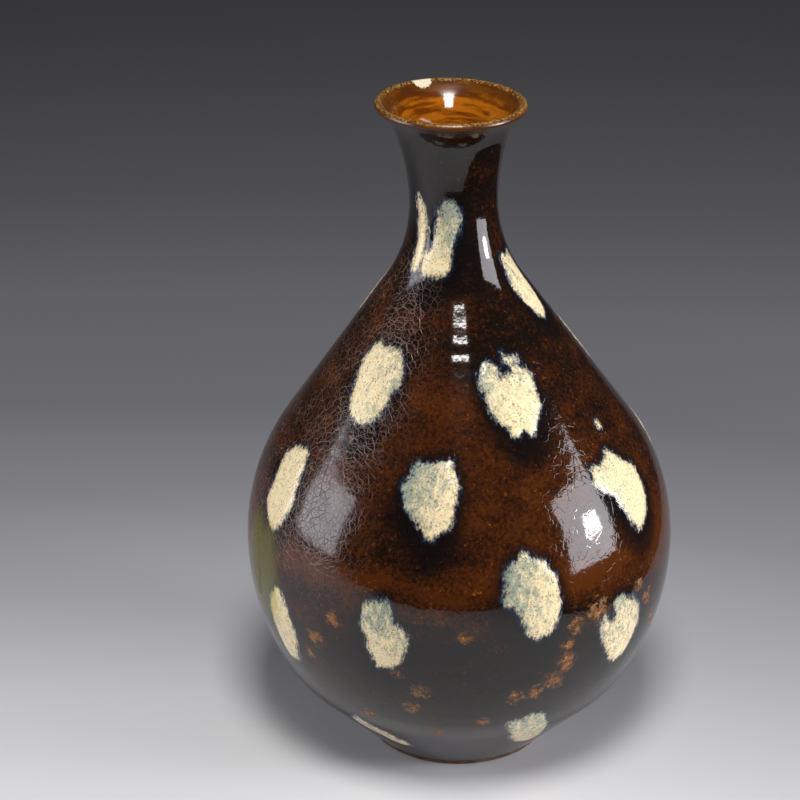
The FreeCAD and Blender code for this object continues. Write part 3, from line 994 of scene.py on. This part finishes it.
@dataclass(frozen=True)
class FiredGlaze(Finish):
    """The iron glaze and all that lies in it: brown breaks, crazing, rust, ash run and dabs."""

    name: str
    black: Colour = shade(19, 13, 10)
    brown: Colour = shade(50, 25, 12)
    amber: Colour = shade(80, 40, 12)
    spark: Colour = shade(150, 84, 24)
    halo_black: Colour = shade(14, 12, 12)
    craze: Colour = shade(118, 90, 76)
    olive: Colour = shade(108, 104, 38)
    yellow: Colour = shade(206, 192, 84)
    cream: Colour = shade(243, 228, 186)
    buff: Colour = shade(226, 188, 128)
    blue_grey: Colour = shade(128, 146, 134)
    deep_blue: Colour = shade(24, 44, 68)
    stain: Colour = shade(70, 40, 14)
    rust: Colour = shade(152, 94, 22)
    pit_rim: Colour = shade(222, 196, 164)
    worn: RimWear = RimWear()

    def iron(self, mix: Recipe, where: Wire) -> Wire:
        """The dark glaze with its brown breaks and sparks."""
        banded = mix.place((1.6, 1.6, 0.8))
        break_up = mix.cloud(banded, size=12, detail=6, rough=0.6)
        grain = mix.cloud(where, size=1.3, detail=4, rough=0.75)
        warmth = mix.field("warmth")
        amount = (break_up * 0.42 + grain * 0.58 + (warmth - 0.75) * 0.22).step(0.37, 0.72)
        dark = mix.blend(self.black, self.brown, amount.step(0, 0.55))
        broken = mix.blend(dark, self.amber, amount.step(0.4, 1.0) * 0.9)
        spark = mix.cloud(where, size=1.6, detail=4, rough=0.7).step(0.60, 0.72) * warmth
        return mix.blend(broken, self.spark, spark * 0.65)

    def crazing(self, mix: Recipe, where: Wire, colour: Wire) -> tuple[Wire, Wire]:
        """Adds the net of fine cracks, and gives the colour and how much of a crack is there."""
        wide_net = mix.warped(where, size=4.0, amount=1.2)
        fine_net = mix.warped(where, size=3.0, amount=0.8)
        cracks = mix.cells(wide_net, 2.6, "DISTANCE_TO_EDGE")
        fine = mix.cells(fine_net, 1.5, "DISTANCE_TO_EDGE")
        patchy = mix.cloud(where, size=8, detail=3).step(0.34, 0.6)
        line = (1 - cracks.step(0.012, 0.055)).at_least((1 - fine.step(0.01, 0.055)) * 0.5)
        craze = line * mix.field("crackle") * (0.4 + 0.6 * patchy)
        return mix.blend(colour, self.craze, craze * 0.62), craze

    def blemishes(self, mix: Recipe, where: Wire, colour: Wire) -> tuple[Wire, Wire, Wire]:
        """Adds the rusty spots, and gives the colour, how far it is eaten, and the pits in it."""
        spot = mix.field("rust")
        torn = (mix.cloud(where, size=2.6, detail=6, rough=0.75) - 0.5) * 5
        eaten = (spot + torn).step(0.45, 1.3) * spot.step(0, 0.3)
        colour = mix.blend(colour, self.stain, (spot + torn).step(0, 0.7) * spot.step(0, 0.4))
        colour = mix.blend(colour, self.rust, eaten * 0.8)
        pit = (1 - mix.cells(where, 1.3).step(0.14, 0.26)) * eaten
        return mix.blend(colour, self.pit_rim, pit * 0.7), eaten, pit

    def brushed(self, mix: Recipe, where: Wire, colour: Wire) -> tuple[Wire, Wire, Wire]:
        """Adds the ash run and the dabs, and gives the colour, how much dab there is, and curds."""
        flow = mix.place((1, 1, 2.6))
        ragged = (mix.cloud(flow, size=1.1, detail=6, rough=0.8) - 0.5) * 7.5
        wander = (mix.cloud(flow, size=3.6, detail=2) - 0.5) * 3.4
        edge = mix.field("dab_depth") + ragged + wander
        ash = mix.field("ash_depth") + wander
        colour = mix.blend(colour, self.olive, ash.step(-8, 2) * 0.6)
        colour = mix.blend(colour, self.deep_blue, edge.step(-1.5, 0) * 0.75)
        body = edge.step(-0.5, 1.3)
        streak = mix.cloud(mix.place((1, 1, 2)), size=2.2, detail=6, rough=0.8)
        blue = (mix.field("dab_blue") + (streak - 0.5) * 3.4).step(0.1, 1.0)
        curd = mix.cloud(where, size=0.8, detail=4, rough=0.75)
        pale = mix.blend(self.cream, self.buff, curd.step(0.46, 0.64) * 0.85)
        pale = mix.blend(pale, self.blue_grey, blue * 0.85)
        pale = mix.blend(pale, self.yellow, ash.step(-7, -1) * 0.8)
        thinned = 1 - edge.step(0.4, 3.0)
        peppered = mix.cloud(where, size=3, detail=3).step(0.40, 0.58)
        speck = (1 - mix.cells(where, 0.9).step(0.18, 0.36)) * peppered
        flecks = mix.cloud(where, size=0.9, detail=4, rough=0.8).step(0.53, 0.64)
        speck = speck.at_least(flecks * (blue + thinned))
        pale = mix.blend(pale, self.deep_blue, speck * 0.8)
        return mix.blend(colour, pale, body), body, curd

    def fill(self, mix: Recipe, where: Wire) -> None:
        """Lays everything over the iron glaze in turn, then its gloss and its relief."""
        colour = mix.blend(self.iron(mix, where), self.halo_black, mix.field("halo") * 0.92)
        colour, craze = self.crazing(mix, where, colour)
        colour, eaten, pit = self.blemishes(mix, where, colour)
        colour, body, curd = self.brushed(mix, where, colour)
        colour, lip = self.worn.lay(mix, where, colour)
        roughness = 0.07 + craze * 0.3 + mix.field("crackle") * 0.05 + body * 0.12
        roughness = roughness + eaten * 0.35 + lip * 0.25
        flank = mix.node("SeparateXYZ", {}, {0: where}, "X").step(15, 40)
        folds = mix.warped(where, size=5.0, amount=5.0)
        seams = 1 - mix.cells(folds, 3.4, "DISTANCE_TO_EDGE").step(0, 0.10)
        wrinkle = seams * mix.cloud(where, size=6, detail=2).step(0.4, 0.6) * flank
        relief = mix.cloud(where, size=3.4, detail=2) * 0.045
        relief = relief + mix.cloud(where, size=0.9, detail=2) * 0.006
        relief = relief - wrinkle * 0.022 - craze * 0.04
        relief = relief - pit * 0.25 + eaten * 0.10 + body * curd * 0.05
        mix.finish(colour, roughness, relief)


@dataclass(frozen=True)
class AmberGlaze(Finish):
    """The glaze inside, amber where the light reaches and nearly black lower down."""

    name: str = "amber_glaze_inside"
    amber: Colour = shade(184, 106, 18)
    brown: Colour = shade(112, 56, 6)
    worn: RimWear = RimWear()

    def fill(self, mix: Recipe, where: Wire) -> None:
        """Pools of amber, and the worn lip."""
        pools = mix.cloud(mix.place((4, 4, 0.6)), size=3, detail=4, rough=0.6)
        colour = mix.blend(self.brown, self.amber, pools.step(0.38, 0.62))
        colour, lip = self.worn.lay(mix, where, colour)
        relief = mix.cloud(where, size=3, detail=2) * 0.03
        mix.finish(colour, 0.08 + lip * 0.2, relief)


@dataclass(frozen=True)
class BareStoneware(Finish):
    """The unglazed clay of the foot, with its turning marks."""

    name: str = "bare_stoneware"
    clay: Colour = shade(112, 78, 54)
    burnt: Colour = shade(60, 40, 30)

    def fill(self, mix: Recipe, where: Wire) -> None:
        """Burnt patches and grit."""
        patch = mix.cloud(where, size=7, detail=5, rough=0.6).step(0.4, 0.62)
        colour = mix.blend(self.clay, self.burnt, patch * 0.8)
        grit = mix.cells(where, 1.2).step(0.1, 0.3)
        colour = mix.blend(self.burnt, colour, 0.35 + 0.65 * grit)
        relief = mix.cloud(where, size=0.6, detail=4, rough=0.7) * 0.12 + grit * 0.04
        mix.finish(colour, 0.82 - grit * 0.1, relief)


@dataclass(frozen=True)
class StudioPaper(Finish):
    """The pale paper that the bottle stands on, with a painted pool of light round the bottle: palest
    there, darker outwards.
    """

    name: str = "studio_paper"
    # where the painted pool of light lies, how it is stretched along each axis, and how far it
    # reaches
    middle: Sequence[float] = (80, 130, 0)
    broad: Sequence[float] = (0.6, 1, 1)
    reach: float = 1000
    # painted light: the paper's tones, palest at the pool's middle and darker outwards
    painted_light_tones: tuple[tuple[float, Colour], ...] = (
        (0.09, shade(219, 220, 222)),
        (0.144, shade(212, 213, 216)),
        (0.223, shade(178, 180, 184)),
        (0.317, shade(140, 141, 146)),
        (0.42, shade(119, 120, 125)),
        (0.545, shade(121, 122, 127)),
        (0.70, shade(108, 109, 114)),
        (1.0, shade(101, 102, 107)),
    )

    def fill(self, mix: Recipe, where: Wire) -> None:
        """Painted light: one tone after another, outwards, palest round the bottle."""
        settings, inputs = {"operation": "MULTIPLY_ADD"}, {0: where, 1: self.broad, 2: self.middle}
        shifted = mix.node("VectorMath", settings, inputs)
        away = mix.node("VectorMath", {"operation": "LENGTH"}, {0: shifted}, "Value")
        colour = mix.node("ValToRGB", {"stops": self.painted_light_tones}, {"Fac": away * (1 / self.reach)})
        mix.finish(colour, 0.9, mix.cloud(where, size=1.5, detail=2) * 0.02)


# ------------------------------------------------------------------------------ the pieces
def settle(piece: bpy.types.Object, nodes: Sequence[str],
           finish: bpy.types.Material, angle: float = 40) -> None:
    """Smooths a piece, gives it its finish and hands it to the frame.

    Args:
        piece: the piece.
        nodes: the CAD nodes that it stands for.
        finish: the material.
        angle: degrees between faces that still look like one smooth surface.
    """
    smoothed(piece, angle)
    piece.data.materials.append(finish)
    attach(piece, BODY)
    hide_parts(*nodes)
    LOG.info("%s: %d faces", piece.name, len(piece.data.polygons))


@dataclass
class ThrownPot:
    """The thrown clay between its two glazes."""

    outline: Outline
    surface: Surface
    hand: Hand
    brushwork: Brushwork
    segments: int = 320
    clay_segments: int = 128
    inside_spacing: float = 2.5
    covered_spacing: float = 5.0
    foot_radius: float = 32
    foot_ring_width: float = 5.5
    foot_edge: float = 0.8
    foot_recess: float = 2
    turning_mark: float = 0.18
    mark_spacing: float = 2.6
    mark_steps: int = 90

    def foot(self) -> list[Point]:
        """The turned foot from the outer wall in to the axis, with grooves of the turning tool."""
        ring = self.foot_radius - self.foot_ring_width
        edge = self.foot_edge
        start = [
            (self.foot_radius, self.outline.glaze_end_level),
            (self.foot_radius, edge),
            (self.foot_radius - edge * 0.3, edge * 0.3),
            (self.foot_radius - edge, 0.0),
            (ring + edge, 0.0),
            (ring + edge * 0.3, edge * 0.4),
            (ring, self.foot_recess),
        ]
        steps = self.mark_steps
        marks = [
            (
                ring * (1 - n / steps),
                self.foot_recess
                + self.turning_mark * math.sin(2 * math.pi * ring * n / steps / self.mark_spacing)
                * math.sin(math.pi * n / steps),
            )
            for n in range(1, steps)
        ]
        return start + marks + [(0.0, self.foot_recess)]

    def layer(self, name: str, profile: Sequence[Point], segments: int,
              painted: bool = False) -> bpy.types.Object:
        """One layer turned and bent by the hand, and painted with what it carries if asked."""
        piece = thrown(name, profile, segments)
        points = coordinates(piece.data) / MM
        if painted:
            around = np.arctan2(points[:, 0], -points[:, 1])
            along = self.surface.along_at(points[:, 2])
            paint(piece.data, self.brushwork.fields(around, along))
        put(piece.data, self.hand.bend(points))
        return piece

    def clay(self) -> None:
        """The clay itself, bare only at the foot."""
        outline = self.outline
        wall = replace(outline, spacing=self.covered_spacing).outside(outline.glaze)
        lip = outline.lip(outline.glaze, outline.inner_lip_angle(), 0)
        inside = outline.hollow(0, self.covered_spacing)
        profile = inside[:-1] + lip[:-1] + wall[::-1] + self.foot()
        piece = self.layer("clay_body_bare", profile, self.clay_segments)
        settle(piece, ["clay_body"], BareStoneware().mix())

    def outer_glaze(self, finish: bpy.types.Material) -> None:
        """The glaze outside, with what each place of it carries."""
        outline = self.outline
        near = outline.outside(0)
        far = replace(outline, spacing=self.covered_spacing).outside(outline.glaze * 0.8)
        profile = near + far[::-1] + near[:1]
        piece = self.layer("outer_glaze_coat", profile, self.segments, painted=True)
        settle(piece, ["outer_glaze"], finish)

    def liner(self) -> None:
        """The glaze poured inside, which rolls over the lip."""
        outline = self.outline
        inner_lip = outline.inner_lip_angle()
        near = outline.hollow(outline.glaze, self.inside_spacing)
        far = outline.hollow(outline.glaze * 0.2, self.covered_spacing)
        near_lip = outline.lip(0, inner_lip, 0)
        far_lip = outline.lip(outline.glaze * 0.8, 0, inner_lip)
        profile = near[:-1] + near_lip + far_lip[:-1] + far[::-1]
        piece = self.layer("liner_glaze_coat", profile, self.segments)
        settle(piece, ["liner_glaze"], AmberGlaze().mix())


@dataclass
class BrushedGlazes:
    """The pale dabs and the run of ash glaze, each a thin lens that swells out of the coat."""

    surface: Surface
    hand: Hand
    brushwork: Brushwork
    grid: float = 0.6
    border: float = 0.8
    swell: float = 2.2
    stand: float = 0.32
    sink: float = 0.15
    seat: float = 0.8
    lump: float = 0.05

    def flat(self, patch: Patch) -> bpy.types.Object:
        """One patch laid out flat, in millimetres, cut to its outline and given two sides."""
        bpy.ops.object.select_all(action="DESELECT")
        corners = np.concatenate(patch.outlines)
        spread = 2 * np.abs(corners).max(axis=0) + 4 * self.border
        counts = [round(extent / self.grid) for extent in spread]
        bpy.ops.mesh.primitive_grid_add(x_subdivisions=counts[0], y_subdivisions=counts[1], size=1)
        piece = bpy.context.object
        into_edit_mode()
        bpy.ops.transform.resize(value=(spread[0], spread[1], 1))
        bpy.ops.mesh.select_all(action="DESELECT")
        sheet = bmesh.from_edit_mesh(piece.data)
        middles = np.array([face.calc_center_median()[:2] for face in sheet.faces])
        for face, depth in zip(sheet.faces, patch.depth(middles)):
            face.select = bool(depth < -self.border)
        sheet.select_flush(True)
        bmesh.update_edit_mesh(piece.data)
        bpy.ops.mesh.delete(type="FACE")
        self.trim(piece, patch)
        bpy.ops.mesh.select_all(action="SELECT")
        bpy.ops.mesh.extrude_region_move(TRANSFORM_OT_translate={"value": (0, 0, 1)})
        bpy.ops.mesh.select_all(action="SELECT")
        bpy.ops.mesh.normals_make_consistent(inside=False)
        bpy.ops.object.mode_set(mode="OBJECT")
        return piece

    def trim(self, piece: bpy.types.Object, patch: Patch) -> None:
        """Draws the stepped border of a flat patch in edit mode onto its smooth outline."""
        sheet = bmesh.from_edit_mesh(piece.data)
        edge = [vert for vert in sheet.verts if vert.is_boundary]
        places = np.array([vert.co[:2] for vert in edge])
        probe = self.grid / 4
        for _ in range(2):
            depth = patch.depth(places)
            slope = np.stack(
                [patch.depth(places + step) - depth for step in ((probe, 0), (0, probe))], axis=1
            )
            slope /= np.maximum(np.linalg.norm(slope, axis=1), probe / 10)[:, None]
            places = places + slope * np.clip(-self.border - depth, -self.grid, self.grid)[:, None]
        for vert, place in zip(edge, places):
            vert.co[:2] = place
        bmesh.update_edit_mesh(piece.data)

    def laid(self, piece: bpy.types.Object, patch: Patch) -> None:
        """Wraps a flat patch round the wall, swelling inwards from its border."""
        points = coordinates(piece.data)
        depth = patch.depth(points[:, :2])
        along = patch.along + points[:, 1]
        around = patch.around + points[:, 0] / self.surface.radius_at(along)
        rise = smooth(-self.border, self.swell, depth) * (self.stand + self.sink)
        lumps = self.lump * np.sin(points[:, 0] * 1.1) * np.sin(points[:, 1] * 0.7 + patch.around * 9)
        top = points[:, 2] > 0.5
        out = np.where(top, rise * (1 + lumps) - self.sink * self.seat, -self.sink)
        paint(piece.data, self.brushwork.fields(around, along))
        put(piece.data, self.hand.bend(self.surface.place(around, along, out)))

    def piece(self, name: str, node: str, patches: Sequence[Patch], slot: str,
              finish: bpy.types.Material) -> None:
        """Makes all patches of one CAD node as one piece.

        Args:
            name: the piece's name.
            node: the CAD node.
            patches: its patches.
            slot: the record's material slot; not used.
            finish: the material.
        """
        parts = [self.flat(patch) for patch in patches]
        for part, patch in zip(parts, patches):
            self.laid(part, patch)
        bpy.ops.object.select_all(action="DESELECT")
        for part in parts:
            part.select_set(True)
        bpy.context.view_layer.objects.active = parts[0]
        if len(parts) > 1:
            bpy.ops.object.join()
        made = parts[0]
        made.name = made.data.name = name
        settle(made, [node], finish, 60)

    def build(self, finish: bpy.types.Material) -> None:
        """Every row of dabs, then the ash run."""
        for node, patches in self.brushwork.rows.items():
            self.piece(node + "_brushed", node, patches, "cream_glaze", finish)
        self.piece("ash_run_spilled", "ash_run", [self.brushwork.ash], "ash_glaze", finish)


# ------------------------------------------------------------------------------ the studio
@dataclass(frozen=True)
class Lamp:
    """A soft rectangular lamp, in metres and watts."""

    place: Sequence[float]
    aim: Sequence[float]
    size: Point
    power: float
    colour: Colour = (1.0, 0.98, 0.96)

    def light(self) -> None:
        """Hangs the lamp."""
        bpy.ops.object.light_add(type="AREA", location=self.place)
        lamp = bpy.context.object
        lamp.data.shape = "RECTANGLE"
        lamp.data.size, lamp.data.size_y = self.size
        lamp.data.energy = self.power
        lamp.data.color = self.colour
        way = Vector(self.aim) - Vector(self.place)
        lamp.rotation_euler = way.to_track_quat("-Z", "Y").to_euler()


@dataclass(frozen=True)
class Studio:
    """The pale floor, the soft lamps and the camera, in metres and degrees."""

    floor_corners: tuple[Point, ...] = ((-2.2, -0.36), (0.13, -0.34), (-3, 4), (1.09, 4))
    camera_place: Sequence[float] = (0.0, -0.9015, 0.531)
    camera_pitch: float = 24.0
    camera_turn: float = 1.34
    lens: float = 126.0
    backdrop: Colour = shade(30, 31, 33)
    lamps: tuple[Lamp, ...] = (
        Lamp((0.80, -0.25, 0.265), (0, 0, 0.09), (0.47, 0.58), 5.8, (0.96, 0.94, 1.0)),
        Lamp((0.76, -0.20, 0.23), (0, 0, 0.09), (0.12, 0.15), 2.0),
        Lamp((-0.80, -0.15, 0.27), (0, 0, 0.09), (0.42, 0.42), 3.4, (0.96, 0.94, 1.0)),
        Lamp((0.03, -0.593, 1.155), (0, -0.03, 0.2), (0.29, 0.46), 11.5),
    )

    def floor(self) -> None:
        """Lays the paper."""
        bpy.ops.object.select_all(action="DESELECT")
        bpy.ops.mesh.primitive_plane_add()
        paper = bpy.context.object
        paper.name = "studio_floor"
        for vertex, corner in zip(paper.data.vertices, self.floor_corners):
            vertex.co = (*corner, 0)
        into_edit_mode()
        bpy.ops.mesh.subdivide(number_cuts=3)
        bpy.ops.object.mode_set(mode="OBJECT")
        paper.data.materials.append(StudioPaper().mix())

    def surroundings(self) -> None:
        """Dims the room."""
        world = bpy.data.worlds.new("studio_room")
        world.use_nodes = True
        world.node_tree.nodes["Background"].inputs["Color"].default_value = (*self.backdrop, 1)
        bpy.context.scene.world = world

    def camera(self) -> None:
        """Sets up the camera."""
        turns = (math.radians(90 - self.camera_pitch), 0, math.radians(self.camera_turn))
        bpy.ops.object.camera_add(location=self.camera_place, rotation=turns)
        eye = bpy.context.object
        eye.data.lens = self.lens
        bpy.context.scene.camera = eye

    def build(self) -> None:
        """Sets up everything round the bottle."""
        self.floor()
        self.surroundings()
        for lamp in self.lamps:
            lamp.light()
        self.camera()
        bpy.context.scene.view_settings.view_transform = "Standard"


def main() -> None:
    """Builds the bottle in its order: clay, glaze inside, glaze outside, dabs, ash run."""
    logging.basicConfig(level=logging.INFO, format="%(name)s: %(message)s")
    outline = Outline.from_frame()
    surface, hand = Surface(outline), Hand()
    brushwork = Brushwork(surface)
    finish = FiredGlaze("fired_iron_glaze").mix()
    pot = ThrownPot(outline, surface, hand, brushwork)
    pot.clay()
    pot.liner()
    pot.outer_glaze(finish)
    BrushedGlazes(surface, hand, brushwork).build(finish)
    Studio().build()


if __name__ == "__main__":
    main()
